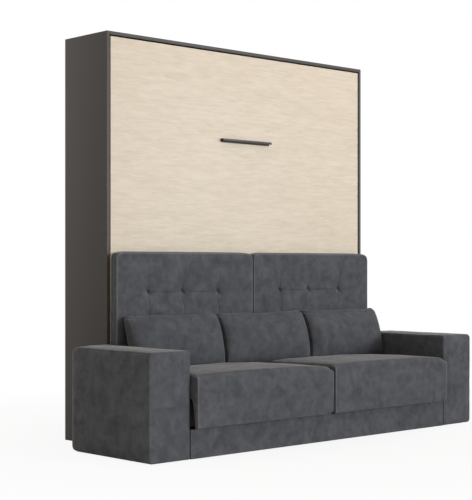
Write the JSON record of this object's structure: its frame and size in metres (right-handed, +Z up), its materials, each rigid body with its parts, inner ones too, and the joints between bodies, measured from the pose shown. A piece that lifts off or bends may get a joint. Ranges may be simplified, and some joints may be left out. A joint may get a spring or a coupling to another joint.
{
  "type": "wall bed with sofa",
  "caption": "Upright cabinet whose front folds down as a double bed over a sofa; the seat lowers as the bed comes down and folding legs hold its far end.",
  "frame": {"origin": "on the floor, in the middle of the whole object's outline, from the seat's front to the cabinet's rear edge", "axes": "+Z up, +X to the right of someone who faces the cabinet, +Y towards the wall"},
  "size_m": [2.472, 1.0624, 2.17],
  "materials": {
    "oak": "satin",
    "laminate": "matte",
    "plywood": "matte",
    "hardboard": "matte",
    "velour": "matte",
    "ticking": "matte",
    "webbing": "matte",
    "dark_steel": "satin",
    "bright_steel": "satin",
    "grey_plastic": "matte"
  },
  "bodies": {
    "cabinet": {"side_panel_left": "laminate", "side_panel_right": "laminate", "top_panel": "laminate", "back_rail_bottom": "laminate", "back_rail_middle": "laminate", "back_rail_top": "laminate", "back_panel_lower": "hardboard", "back_panel_upper": "hardboard", "wall_bracket_left": "bright_steel", "wall_bracket_right": "bright_steel", "pivot_plate_left": "dark_steel", "pivot_plate_right": "dark_steel", "spring_plate_left": "dark_steel", "spring_plate_right": "dark_steel", "armrest_left": "velour", "armrest_right": "velour", "armrest_runner_left": "grey_plastic", "armrest_runner_right": "grey_plastic", "plinth": "velour", "base_rear_rail": "plywood", "seat_pivot_plate_left": "dark_steel", "seat_pivot_plate_right": "dark_steel"},
    "front_levers": {"front_lever_left": "dark_steel", "front_lever_right": "dark_steel", "front_lever_shaft": "bright_steel"},
    "rear_levers": {"rear_lever_left": "dark_steel", "rear_lever_right": "dark_steel", "rear_lever_shaft": "bright_steel"},
    "seat": {"seat_board": "plywood", "seat_side_left": "plywood", "seat_side_right": "plywood", "seat_rail_front": "plywood", "seat_rail_rear": "plywood", "seat_cushion_left": "velour", "seat_cushion_right": "velour"},
    "bed": {"front_panel": "oak", "handle": "dark_steel", "bed_rail_left": "dark_steel", "bed_rail_right": "dark_steel", "bed_head_rail": "dark_steel", "bed_foot_rail": "dark_steel", "bed_middle_beam": "dark_steel", "slat_row_left": "plywood", "slat_row_right": "plywood", "mattress": "ticking", "mattress_strap": "webbing", "hinge_bracket_left": "dark_steel", "hinge_bracket_right": "dark_steel", "backrest_left": "velour", "backrest_right": "velour"},
    "leg_left": {"leg_left": "dark_steel"},
    "leg_right": {"leg_right": "dark_steel"},
    "gas_cylinder_left": {"gas_cylinder_left": "dark_steel"},
    "gas_cylinder_right": {"gas_cylinder_right": "dark_steel"},
    "gas_rod_left": {"gas_rod_left": "bright_steel"},
    "gas_rod_right": {"gas_rod_right": "bright_steel"},
    "pillow_left": {"pillow_left": "velour"},
    "pillow_middle": {"pillow_middle": "velour"},
    "pillow_right": {"pillow_right": "velour"}
  },
  "joints": [
    {"name": "bed_fold", "type": "hinge", "parent": "cabinet", "child": "bed", "pos_m": [0, 0.18876, 0.415], "axis": [1, 0, 0], "range_deg": [0, 90], "stiffness_Nm_per_rad": 500, "springref_deg": -2.86},
    {"name": "front_lever_swing", "type": "hinge", "parent": "cabinet", "child": "front_levers", "pos_m": [0, -0.24124, 0.1], "axis": [1, 0, 0], "range_deg": [0, 43]},
    {"name": "seat_level", "type": "hinge", "parent": "front_levers", "child": "seat", "pos_m": [0, -0.42763, 0.1725], "axis": [1, 0, 0], "range_deg": [-43, 0]},
    {"name": "rear_lever_swing", "type": "hinge", "parent": "cabinet", "child": "rear_levers", "pos_m": [0, 0.05876, 0.1], "axis": [1, 0, 0], "range_deg": [0, 43]},
    {"name": "leg_left_swing", "type": "hinge", "parent": "bed", "child": "leg_left", "pos_m": [0, 0.20376, 2.05], "axis": [1, 0, 0], "range_deg": [-90, 0]},
    {"name": "leg_right_swing", "type": "hinge", "parent": "bed", "child": "leg_right", "pos_m": [0, 0.20376, 2.05], "axis": [1, 0, 0], "range_deg": [-90, 0]},
    {"name": "gas_swing_left", "type": "hinge", "parent": "cabinet", "child": "gas_cylinder_left", "pos_m": [0, 0.29376, 1.05], "axis": [1, 0, 0], "range_deg": [0, 2.75]},
    {"name": "gas_swing_right", "type": "hinge", "parent": "cabinet", "child": "gas_cylinder_right", "pos_m": [0, 0.29376, 1.05], "axis": [1, 0, 0], "range_deg": [0, 2.75]},
    {"name": "gas_stroke_left", "type": "slide", "parent": "gas_cylinder_left", "child": "gas_rod_left", "axis": [0, -0.0199, -0.9998], "range_m": [-0.2101, 0]},
    {"name": "gas_stroke_right", "type": "slide", "parent": "gas_cylinder_right", "child": "gas_rod_right", "axis": [0, -0.0199, -0.9998], "range_m": [-0.2101, 0]},
    {"name": "pillow_left_lift", "type": "hinge", "parent": "cabinet", "child": "pillow_left", "pos_m": [0, -0.26124, 0.082], "axis": [1, 0, 0], "range_deg": [0, 117.5]},
    {"name": "pillow_middle_lift", "type": "hinge", "parent": "cabinet", "child": "pillow_middle", "pos_m": [0, -0.26124, 0.082], "axis": [1, 0, 0], "range_deg": [0, 117.5]},
    {"name": "pillow_right_lift", "type": "hinge", "parent": "cabinet", "child": "pillow_right", "pos_m": [0, -0.26124, 0.082], "axis": [1, 0, 0], "range_deg": [0, 117.5]}
  ],
  "couplings": [
    {"joint": "front_lever_swing", "follows": "bed_fold", "ratio": 0.47231},
    {"joint": "seat_level", "follows": "bed_fold", "ratio": -0.47231},
    {"joint": "rear_lever_swing", "follows": "bed_fold", "ratio": 0.47231},
    {"joint": "leg_left_swing", "follows": "bed_fold", "ratio": -1},
    {"joint": "leg_right_swing", "follows": "bed_fold", "ratio": -1},
    {"joint": "gas_swing_left", "follows": "bed_fold", "ratio": 0.030164},
    {"joint": "gas_swing_right", "follows": "bed_fold", "ratio": 0.030164},
    {"joint": "gas_stroke_left", "follows": "bed_fold", "m_per_rad": -0.13365},
    {"joint": "gas_stroke_right", "follows": "bed_fold", "m_per_rad": -0.13365},
    {"joint": "pillow_left_lift", "follows": "bed_fold", "ratio": 1.3},
    {"joint": "pillow_middle_lift", "follows": "bed_fold", "ratio": 1.3},
    {"joint": "pillow_right_lift", "follows": "bed_fold", "ratio": 1.3}
  ]
}
